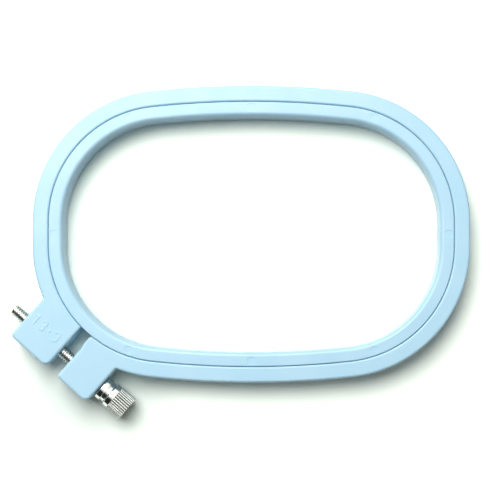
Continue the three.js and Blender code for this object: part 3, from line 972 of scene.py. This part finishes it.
@dataclass
class SizeMark:
    """Raised figures, the oval's length and width in whole centimetres."""

    height: float = 3.6
    stroke: float = 0.6
    relief: float = 0.15
    pitch: float = 2.6  # from one figure to the next
    soft_edge: float = 0.05
    edge_segments: int = 2
    three_end: int = 150  # degrees from each bowl's side to its open end
    nine_end: int = 140

    def __post_init__(self) -> None:
        """Works out the bowls, which are half as high as a figure."""
        self.half = self.stroke / 2
        self.bowl = (self.height - self.stroke) / 4
        self.upper, self.lower = Vector((0, self.bowl)), Vector((0, -self.bowl))

    def on_bowl(self, centre: Vector, degrees: float, outwards: float = 0) -> Vector:
        """Returns a point of a bowl's middle line, or as far outwards of it as is asked."""
        turn = math.radians(degrees)
        return centre + Vector((math.cos(turn), math.sin(turn))) * (self.bowl + outwards)

    def one(self) -> bmesh.types.BMesh:
        """Draws a one and returns its outline."""
        top, width = self.height / 2, self.stroke
        flag = ((-0.1, 0), (-1.3, -0.9), (-1.3, -1.75), (-0.5, -1.15))  # in strokes, from the top
        pen = Pen(Vector((-self.half, -top))).line(Vector((self.half, -top))).line(Vector((self.half, top)))
        for x, y in flag:
            pen.line(Vector((x * width, top + y * width)))
        return pen.close()

    def three(self) -> bmesh.types.BMesh:
        """Draws a three and returns its outline."""
        end = self.three_end
        notch = math.degrees(math.asin(self.bowl / (self.bowl + self.half)))
        pen = Pen(self.on_bowl(self.upper, end, self.half))
        pen.arc(self.upper, -end - notch).arc(self.lower, -end - notch)
        pen.arc(self.on_bowl(self.lower, -end), -HALF_ROUND).arc(self.lower, end + RIGHT_ANGLE)
        pen.arc(Vector((0, 0)), -HALF_ROUND).arc(self.upper, end + RIGHT_ANGLE)
        return pen.arc(self.on_bowl(self.upper, end), -HALF_ROUND).close()

    def point(self) -> bmesh.types.BMesh:
        """Draws a point and returns its outline."""
        return Pen(Vector((self.half, 0))).arc(Vector((0, 0)), ALL_ROUND).close()

    def nine(self) -> bmesh.types.BMesh:
        """Draws a nine without the hole in its bowl, and returns its outline."""
        end, inside = self.nine_end, self.bowl - self.half
        join = math.degrees(math.acos(inside / (self.bowl + self.half)))
        pen = Pen(self.on_bowl(self.upper, 0, self.half)).arc(self.upper, ALL_ROUND - join)
        pen.line(Vector((inside, -self.bowl))).arc(self.lower, -end)
        return pen.arc(self.on_bowl(self.lower, -end), HALF_ROUND).arc(self.lower, end).close()

    def build(self, middle: Matrix) -> bmesh.types.BMesh:
        """Sets the figures in a row.

        Args:
            middle: The place of the row's middle, on the lug's top face.

        Returns:
            The figures, sunk a little way into the lug, in one mesh.
        """
        sunk = 2 * self.relief
        outlines = (self.one(), self.three(), self.point(), self.nine())
        figures = [raise_outline(outline, sunk + self.relief) for outline in outlines]
        hole = Pen(self.on_bowl(self.upper, 0, -self.half)).arc(self.upper, ALL_ROUND).close()
        cutter = raise_outline(move(hole, Matrix.Translation(-UP * OVERSHOOT)), 3 * OVERSHOOT)
        figures[-1] = combine(figures[-1], [cutter], Combine.CUT)
        row = bmesh.new()
        for place, figure in enumerate(figures):
            bevel(figure, level_rims(figure, sunk), self.soft_edge, self.edge_segments)
            shift = Vector(((place - (len(figures) - 1) / 2) * self.pitch, 0, -sunk))
            made = as_object(move(figure, middle @ Matrix.Translation(shift)), "figure")
            row.from_mesh(made.data)
            drop(made)
        return row


@dataclass
class OuterRing:
    """The split ring with its two lugs, which the thumb screw draws together."""

    oval: Oval
    clasp: Clasp
    mark: SizeMark
    wall: float = 4.6
    edge_round: float = 0.85
    seam_round: float = 0.55
    rounding_grows: tuple[float, float] = (1.3, 2.7)  # from the seam's to the other edges', outwards
    seam_tight: float = 0.2  # the pressed seam is this much narrower than the CAD's
    gap: float = 4.2  # between the lugs
    gap_shift: float = -0.4  # of the gap's middle along the screw
    nut_lug: float = 14.45  # lengths of the lugs along the screw
    head_lug: float = 12.0
    lug_reach: float = 11.25  # beyond the ring's outer wall
    tip_side_round: float = 1.2  # each lug's corner towards the screw's tip
    head_side_round: float = 2.1
    ring_end_round: float = 1.1  # where the ring's end meets the seam, on the head lug
    ring_end_step: float = 0.35  # that end stands out of the lug's face by this much
    ring_end_slope: float = 1.9  # and slopes down to the face over this length
    ring_end_steps: int = 8  # along the end
    ring_end_past_wall: float = 0.25
    root_fillet: float = 0.5
    bore_radius: float = 2.3
    mouth_chamfer: float = 0.2
    nut_flats: float = 7.5  # the nut's pocket, with room for the nut
    pocket_depth: float = 3.75
    mark_from_ring: float = 2.3
    mark_from_side: float = 6.8
    edge_segments: int = 6

    def __post_init__(self) -> None:
        """Works out the lugs' faces and walls, in the clasp's frame."""
        self.seam_wall = self.oval.corner_radius + self.oval.gap / 2 - self.seam_tight
        self.outer_wall = self.oval.corner_radius + self.oval.gap / 2 + self.wall
        self.nut_gap_face = self.gap_shift - self.gap / 2
        self.head_gap_face = self.gap_shift + self.gap / 2
        self.nut_face = self.nut_gap_face - self.nut_lug
        self.head_face = self.head_gap_face + self.head_lug
        self.lug_end = -(self.outer_wall + self.lug_reach)

    def rounding(self, x: float, side: int, wall: float, radius: float) -> tuple[Vector, float, float]:
        """Fits a rounding between a face of a lug and a wall of the ring.

        Args:
            x: The lug's face.
            side: 1 or -1, the side of the face that the rounding's centre is on.
            wall: The wall's radius.
            radius: The rounding's radius.

        Returns:
            The centre in the clasp's frame, the direction back to the corner's centre, and the direction
            of the rounding from the corner's centre in the hoop's plan.
        """
        centre_x = x + side * radius
        centre = Vector((centre_x, -math.sqrt((wall + radius) ** 2 - centre_x ** 2)))
        back = math.degrees(math.atan2(-centre.y, -centre.x))
        return centre, back, self.clasp.direction(*centre)

    def draw_lug(self, pen: Pen, start: float, end: float) -> None:
        """Draws both corners of a lug's outer end, from the face towards the screw's tip to the other."""
        plan = self.clasp.plan
        for x, radius, turned_in in ((start, self.tip_side_round, 1), (end, self.head_side_round, -1)):
            centre_x, centre_y = x + turned_in * radius, self.lug_end + radius
            before = (x, centre_y) if turned_in > 0 else (centre_x, self.lug_end)
            pen.line(plan(*before)).arc(plan(centre_x, centre_y), RIGHT_ANGLE)

    def outline(self) -> bmesh.types.BMesh:
        """Draws the ring's plan, from the ring's end on the head lug all round, and returns it."""
        plan = self.clasp.plan
        end_face = self.head_gap_face - self.ring_end_step
        slope_end = -(self.outer_wall + self.ring_end_past_wall)
        end, end_back, end_direction = self.rounding(end_face, 1, self.seam_wall, self.ring_end_round)
        fillet = self.root_fillet
        head, head_back, head_direction = self.rounding(self.head_face, 1, self.outer_wall, fillet)
        nut, nut_back, nut_direction = self.rounding(self.nut_face, -1, self.outer_wall, fillet)
        nut_corner = Vector((self.nut_gap_face, -math.sqrt(self.seam_wall ** 2 - self.nut_gap_face ** 2)))

        pen = Pen(plan(*(end * self.seam_wall / end.length)))
        pen.arc(plan(*end), HALF_ROUND - end_back)
        pen.line(plan(end_face, slope_end + self.ring_end_slope), self.ring_end_steps)
        pen.line(plan(self.head_gap_face, slope_end))
        self.draw_lug(pen, self.head_gap_face, self.head_face)
        pen.line(plan(self.head_face, head.y)).arc(plan(*head), head_back - HALF_ROUND)
        pen.follow(self.oval.between(head_direction, nut_direction))
        pen.arc(plan(*nut), -nut_back)
        self.draw_lug(pen, self.nut_face, self.nut_gap_face)
        pen.line(plan(*nut_corner))
        inside = self.oval.between(end_direction, self.clasp.direction(*nut_corner))
        pen.follow(stretch.reverse() for stretch in reversed(inside))
        return pen.close()

    def cutters(self) -> list[bmesh.types.BMesh]:
        """Makes the screw's bore, with a chamfer at each mouth, and the nut's pocket, and returns them."""
        bore, wide = self.bore_radius, self.bore_radius + self.mouth_chamfer
        profile = [(self.nut_face - OVERSHOOT, 0), (self.nut_face - OVERSHOOT, bore)]
        profile += [(self.nut_gap_face - self.mouth_chamfer, bore), (self.nut_gap_face, wide)]
        profile += [(self.head_gap_face, wide), (self.head_gap_face + self.mouth_chamfer, bore)]
        profile += [(self.head_face - self.mouth_chamfer, bore), (self.head_face, wide)]
        profile += [(self.head_face + OVERSHOOT, wide), (self.head_face + OVERSHOOT, 0)]
        pocket = hexagon_bar(self.nut_flats, self.nut_face - OVERSHOOT, self.nut_face + self.pocket_depth)
        return [move(cutter, self.clasp.screw) for cutter in (turned(profile), pocket)]

    def rounding_at(self, place: Vector) -> float:
        """Returns the size of the edge's rounding at a place, which is smaller at the seam."""
        start, end = self.rounding_grows
        share = (self.oval.offset(place) - self.oval.gap / 2 - start) / (end - start)
        return self.seam_round + min(1, max(0, share)) * (self.edge_round - self.seam_round)

    def build(self, plastic: bpy.types.Material) -> bpy.types.Object:
        """Builds and dresses the ring, and returns its object."""
        body = raise_outline(self.outline(), self.oval.height)
        body = round_rims(body, self.rounding_at, self.edge_segments)
        body = combine(body, self.cutters(), Combine.CUT)
        mark_middle = (self.nut_face + self.mark_from_side, -(self.outer_wall + self.mark_from_ring))
        top = Matrix.Translation((*mark_middle, self.oval.height / 2))
        body = combine(body, [self.mark.build(self.clasp.centre @ top)], Combine.ADD)
        stand = Stand("outer_ring_moulding", "outer_ring", Body.OUTER_RING, "ring_plastic")
        return stand.install(body, Matrix(), plastic)


# The thumb screw and its nut


@dataclass(frozen=True)
class Thread:
    """A right-hand thread along X."""

    radius: float
    pitch: float = 0.75
    depth: float = 0.42
    crest: float = 0.14  # flat on top of each turn
    root: float = 0.08  # flat between two turns
    steps: int = 48  # to a turn
    spare_turns: int = 2  # before the start, because the first ones aren't whole

    def build(self, start: float, end: float) -> bmesh.types.BMesh:
        """Makes a threaded rod.

        Args:
            start: Where it starts along X.
            end: Where it ends.

        Returns:
            The rod, with both its ends cut square.
        """
        bm = bmesh.new()
        low = self.radius - self.depth
        first = math.floor(start / self.pitch) - self.spare_turns
        turns = math.ceil(end / self.pitch) + 1 - first
        profile = [
            (self.root / 2, low),
            ((self.pitch - self.crest) / 2, self.radius),
            ((self.pitch + self.crest) / 2, self.radius),
            (self.pitch - self.root / 2, low),
            (self.pitch + self.root / 2, low),
        ]
        chain = [new_vert(bm, (first * self.pitch + along, 0, radius)) for along, radius in profile]
        for here, there in zip(chain, chain[1:]):
            bm.edges.new((here, there))
        spin(
            bm, bm.verts[:] + bm.edges[:], degrees=ALL_ROUND * turns, steps=self.steps * turns,
            shift=ALONG * self.pitch / self.steps,
        )
        weld(bm)
        for place, keep_after in ((start, True), (end, False)):
            cut = bmesh.ops.bisect_plane(
                bm, geom=bm.verts[:] + bm.edges[:] + bm.faces[:], dist=WELD, plane_co=ALONG * place,
                plane_no=ALONG, clear_inner=keep_after, clear_outer=not keep_after,
            )
            bmesh.ops.holes_fill(bm, edges=only(bmesh.types.BMEdge, cut["geom_cut"]), sides=0)
        weld(bm)
        return bm


@dataclass
class ThumbScrew:
    """The threaded rod, its knurled head, and the loose sleeve that holds the head off the lug."""

    clasp: Clasp
    thread: Thread
    tip_chamfer: float = 0.45
    shank_radius: float = 1.7  # plain end of the rod, in the sleeve and the head
    shank_depth: float = 5.0  # into the head
    shank_play: float = 0.2
    sleeve_bore: float = 2.3
    sleeve_neck: float = 3.35  # its radius beyond the flange
    flange_length: float = 1.9
    flange_round: float = 0.5  # on the flange's edge at the lug
    knurl_length: float = 5.35
    knurl_ridges: int = 30
    knurl_depth: float = 0.3
    knurl_drop: float = 0.05  # the ridges lie this far inside the collar's surface
    groove_share: float = 0.62  # width of the groove between two ridges, as a share of their pitch
    steps_per_ridge: int = 8
    edge_round: float = 0.25
    # how much dirt and painted shade darken the bottoms of the thread and of the knurl
    thread_dirt_and_shade: float = 0.4
    knurl_dirt_and_shade: float = 1.0

    def __post_init__(self) -> None:
        """Measures the CAD nodes along the screw."""
        rod, sleeve, head = (self.clasp.reach_of(n) for n in ("clamp_screw", "head_sleeve", "thumb_head"))
        self.tip = rod[0].x
        self.sleeve_start, self.sleeve_end = sleeve[0].x, sleeve[1].x
        self.flange_radius = sleeve[1].z
        self.head_start, self.head_end = head[0].x, head[1].x
        self.head_radius = head[1].z
        self.knurl_start = self.head_end - self.knurl_length
        self.knurl_radius = self.head_radius - self.knurl_drop

    def grooves(self) -> tuple[Grooves, ...]:
        """Returns the stretches of the thread and of the knurl."""
        thread = self.thread
        return (
            Grooves(self.tip, self.sleeve_start, thread.radius, thread.depth, self.thread_dirt_and_shade),
            Grooves(self.knurl_start, self.head_end, self.knurl_radius, self.knurl_depth, self.knurl_dirt_and_shade),
        )

    def rod(self) -> bmesh.types.BMesh:
        """Makes the threaded rod with its chamfered tip and plain shank, and returns it."""
        wide = self.thread.radius + OVERSHOOT
        envelope = turned([
            (self.tip, 0),
            (self.tip, self.thread.radius - self.tip_chamfer),
            (self.tip + self.tip_chamfer + OVERSHOOT, wide),
            (self.sleeve_start, wide),
            (self.sleeve_start, 0),
        ])
        shank_end = self.head_start + self.shank_depth
        shank = plain_bar(BAR_SIDES, self.shank_radius, self.sleeve_start - OVERSHOOT, shank_end)
        threaded = self.thread.build(self.tip - OVERSHOOT, self.sleeve_start + OVERSHOOT)
        threaded = combine(threaded, [envelope], Combine.KEEP)
        return combine(threaded, [shank], Combine.ADD)

    def sleeve(self) -> bmesh.types.BMesh:
        """Makes the loose sleeve with its flange at the lug, and returns it."""
        inside, neck, flange = self.sleeve_bore, self.sleeve_neck, self.flange_radius
        start, end = self.sleeve_start, self.sleeve_end
        step = start + self.flange_length
        profile = [(start, inside), (start, flange), (step, flange)]
        profile += [(step, neck), (end, neck), (end, inside)]
        rounds = {1: self.flange_round, 2: self.edge_round / 2, 4: self.edge_round}
        return turned(profile, rounds, FINE_STEPS)

    def knurl(self) -> bmesh.types.BMesh:
        """Makes a bar with straight ridges all round, longer than the head, and returns it."""
        sides, ridge = self.knurl_ridges * self.steps_per_ridge, ALL_ROUND / self.knurl_ridges
        bm = plain_bar(sides, self.knurl_radius, self.knurl_start - OVERSHOOT, self.head_end + OVERSHOOT)
        for vertex in bm.verts:
            turn = math.degrees(math.atan2(vertex.co.y, vertex.co.z))
            from_groove = abs((turn / ridge + 0.5) % 1 - 0.5)  # in ridges
            drop = self.knurl_depth * max(0, 1 - 2 * from_groove / self.groove_share)
            share = 1 - drop / self.knurl_radius
            bmesh.ops.scale(bm, vec=(1, share, share), verts=[vertex])
        return bm

    def head(self) -> bmesh.types.BMesh:
        """Makes the knurled head with its collar and the bore that holds the shank, and returns it."""
        start, end, knurl_start, radius = self.head_start, self.head_end, self.knurl_start, self.head_radius
        wide = radius + OVERSHOOT
        bevelled = turned([
            (knurl_start, 0),
            (knurl_start, radius - self.edge_round),
            (knurl_start + self.edge_round + OVERSHOOT, wide),
            (end - self.edge_round - OVERSHOOT, wide),
            (end, radius - self.edge_round),
            (end, 0),
        ], steps=FINE_STEPS)
        collar_end = knurl_start + self.edge_round / 2
        collar = turned(
            [(start, 0), (start, radius), (collar_end, radius), (collar_end, 0)],
            {1: self.edge_round, 2: self.edge_round / 2}, FINE_STEPS,
        )
        bore_end = start + self.shank_depth + self.shank_play
        bore = plain_bar(BAR_SIDES, self.shank_radius + self.shank_play, start - OVERSHOOT, bore_end)
        grip = combine(self.knurl(), [bevelled], Combine.KEEP)
        return combine(combine(grip, [collar], Combine.ADD), [bore], Combine.CUT)

    def build(self, plating: bpy.types.Material) -> list[bpy.types.Object]:
        """Builds and dresses the rod, the sleeve and the head, and returns their objects."""
        slot = "plated_screw"
        pieces = (
            (Stand("threaded_rod", "clamp_screw", Body.THUMB_SCREW, slot), self.rod()),
            (Stand("spacer_sleeve", "head_sleeve", Body.SLEEVE, slot), self.sleeve()),
            (Stand("knurled_head", "thumb_head", Body.THUMB_SCREW, slot), self.head()),
        )
        return [stand.install(bm, self.clasp.screw, plating) for stand, bm in pieces]


@dataclass
class CaptiveNut:
    """The hexagon nut in the pocket of the nut lug."""

    clasp: Clasp
    thread: Thread
    flats: float = 7.0
    face_inset: float = 0.1  # each chamfer begins this far inside the flats
    chamfer_angle: float = 30.0

    def body(self) -> bmesh.types.BMesh:
        """Makes the nut and returns it."""
        low, high = self.clasp.reach_of("captive_nut")
        face, wide = self.flats / 2 - self.face_inset, self.flats / 2 + OVERSHOOT
        slope = (wide - face) * math.tan(math.radians(self.chamfer_angle))
        chamfered = turned([
            (low.x, 0), (low.x, face), (low.x + slope, wide),
            (high.x - slope, wide), (high.x, face), (high.x, 0),
        ])
        hexagon = hexagon_bar(self.flats, low.x, high.x)
        tap = self.thread.build(low.x - OVERSHOOT, high.x + OVERSHOOT)
        return combine(combine(hexagon, [chamfered], Combine.KEEP), [tap], Combine.CUT)

    def build(self, plating: bpy.types.Material) -> bpy.types.Object:
        """Builds and dresses the nut, and returns its object."""
        stand = Stand("hexagon_nut", "captive_nut", Body.OUTER_RING, "nut_steel")
        return stand.install(self.body(), self.clasp.screw, plating)


# The studio


@dataclass
class Studio:
    """A pale floor, soft light from the upper left, and the camera overhead."""

    oval: Oval
    camera_side: Vector = Vector((9.5, -18.0))  # the camera's foot, from the oval's middle
    camera_height: float = 395.0
    frame_width: float = 151.06  # what the picture takes in at the rings' top
    frame_side: Vector = Vector((-0.41, -4.82))  # the middle of the picture there, from the oval's middle
    key_direction: tuple[float, float] = (118.0, 60.0)  # degrees round from +X, and up
    key_distance: float = 700.0
    key_size: float = 600.0  # across
    key_power: float = 5.95  # watts
    fill: float = 0.14  # strength of the room's light on the key's side
    dim_share: float = 0.3  # how much of it is left on the other side
    fill_range: tuple[float, float] = (-0.4, 0.9)  # from dim to full, as cosines from the key
    room: tuple[float, float, float] = (1.20, 1.23, 1.18)  # what polished metal sees of it
    dark: tuple[float, float, float] = (0.018, 0.022, 0.022)  # and what it sees on one side
    dark_side: Vector = Vector((-0.65, -0.72, 0.26))
    dark_range: tuple[float, float] = (0.35, 0.72)  # from bright to dark, as cosines from that side
    paper: tuple[float, float, float] = (1.38, 1.47, 1.33)  # as the camera sees it
    paper_painted_shade: tuple[float, float, float] = (0.86, 0.95, 0.89)  # painted shade: the paper is painted greyer round the clasp, in place of a soft shadow
    # middle of the painted shade round the clasp
    painted_shade_centre: Vector = Vector((-45.0, -36.0, 0.0))
    painted_shade_range: tuple[float, float] = (10.0, 33.0)  # how far from there the painted shade fades out to white paper
    paper_bounce: tuple[float, float, float] = (0.60, 0.60, 0.59)  # as it lights the hoop
    floor_size: float = 4.0  # metres
    sweep_range: tuple[float, float] = (160.0, 320.0)  # how far out the camera sees it turn plain white
    clip_range: tuple[float, float] = (0.01, 20.0)  # of the camera, in metres

    def towards_key(self) -> Vector:
        """Returns the direction from the hoop to the key light."""
        turn, rise = (math.radians(angle) for angle in self.key_direction)
        return Vector((math.cos(turn) * math.cos(rise), math.sin(turn) * math.cos(rise), math.sin(rise)))

    def camera(self) -> None:
        """Hangs up the camera, which looks straight down at the photograph's part of its view."""
        data = bpy.data.cameras.new("camera")
        data.lens = data.sensor_width * (self.camera_height - self.oval.height) / self.frame_width
        data.shift_x, data.shift_y = (self.frame_side - self.camera_side) / self.frame_width
        data.clip_start, data.clip_end = self.clip_range
        camera = in_scene("camera", data)
        place = (self.oval.middle + self.camera_side).to_3d() + UP * self.camera_height
        camera.location = place * MM
        bpy.context.scene.camera = camera

    def key(self) -> None:
        """Hangs the soft key light, near enough that the hoop's far side gets less of it."""
        data = bpy.data.lights.new("key", "AREA")
        data.shape = "DISK"
        data.size = self.key_size * MM
        data.energy = self.key_power
        lamp = in_scene("key", data)
        lamp.location = (self.oval.middle.to_3d() + self.towards_key() * self.key_distance) * MM
        lamp.rotation_euler = self.towards_key().to_track_quat("Z", "Y").to_euler()

    def world(self) -> None:
        """Fills the room with light from the key's side, and gives it a dark side that metal mirrors."""
        world = bpy.data.worlds.new("room")
        world.use_nodes = True
        sketch = NodeSketch(world.node_tree)
        direction = sketch.add("ShaderNodeTexCoord").outputs["Generated"]
        key_facing = sketch.measure("DOT_PRODUCT", direction, self.towards_key())
        dark_facing = sketch.measure("DOT_PRODUCT", direction, self.dark_side.normalized())
        reflected = sketch.mix(sketch.remap(dark_facing, *self.dark_range, 0, 1), self.room, self.dark)
        path = sketch.add("ShaderNodeLightPath").outputs
        filled = sketch.remap(key_facing, *self.fill_range, self.dim_share * self.fill, self.fill)
        seen = sketch.mix(path["Is Glossy Ray"], filled, reflected)
        colour = sketch.mix(path["Is Camera Ray"], seen, (1, 1, 1))
        background = sketch.add("ShaderNodeBackground", {"Color": colour})
        sketch.add("ShaderNodeOutputWorld", {"Surface": background.outputs[0]})
        bpy.context.scene.world = world

    def floor(self) -> None:
        """Lays the floor, which the camera sees as white paper with the hoop's shadow on it, and with a
        painted shade round the clasp.
        """
        bm = bmesh.new()
        bmesh.ops.create_grid(bm, x_segments=1, y_segments=1, size=self.floor_size / 2)
        floor = as_object(bm, "floor")
        material, sketch = new_material("white_paper")
        path = sketch.add("ShaderNodeLightPath").outputs
        looked_at = sketch.math("MAXIMUM", path["Is Camera Ray"], path["Is Glossy Ray"])
        place = sketch.place()
        from_clasp = sketch.measure("DISTANCE", place, self.painted_shade_centre * MM)
        from_middle = sketch.measure("DISTANCE", place, ORIGIN)
        # painted shade: the paper that the camera and reflections see turns greyer towards the clasp
        grey = sketch.remap(from_clasp, *(at * MM for at in self.painted_shade_range), 1, 0)
        seen = sketch.mix(grey, self.paper, self.paper_painted_shade)
        colour = sketch.mix(looked_at, self.paper_bounce, seen)
        paper = sketch.add("ShaderNodeBsdfDiffuse", {"Color": colour}).outputs[0]
        far = sketch.remap(from_middle, *(at * MM for at in self.sweep_range), 0, 1)
        share = sketch.math("MULTIPLY", far, path["Is Camera Ray"])
        white = sketch.add("ShaderNodeEmission", {"Color": (1, 1, 1, 1)}).outputs[0]
        sketch.show(sketch.add("ShaderNodeMixShader", {0: share, 1: paper, 2: white}).outputs[0])
        floor.data.materials.append(material)

    def build(self) -> None:
        """Sets up the whole studio."""
        bpy.context.scene.view_settings.view_transform = "Standard"
        self.camera()
        self.key()
        self.world()
        self.floor()
        log.info("studio: camera, key light, room and floor")


def main() -> None:
    """Builds the hoop and the studio round it."""
    logging.basicConfig(level=logging.INFO, format="%(message)s")
    oval = Oval()
    clasp = Clasp(oval)
    Studio(oval).build()
    plastic = PlasticFinish("pale_blue_plastic").build()
    screw_thread, thread_play = 2.0, 0.15
    screw = ThumbScrew(clasp, Thread(screw_thread))
    nickel = PlatingFinish("nickel_plate", clasp.screw, screw.grooves()).build()
    zinc = PlatingFinish(
        "zinc_plate", clasp.screw, colour=(0.45, 0.45, 0.43), roughness=0.3, mark_height=0.004
    ).build()
    InnerRing(oval).build(plastic)
    OuterRing(oval, clasp, SizeMark()).build(plastic)
    screw.build(nickel)
    CaptiveNut(clasp, Thread(screw_thread + thread_play)).build(zinc)


if __name__ == "__main__":
    main()
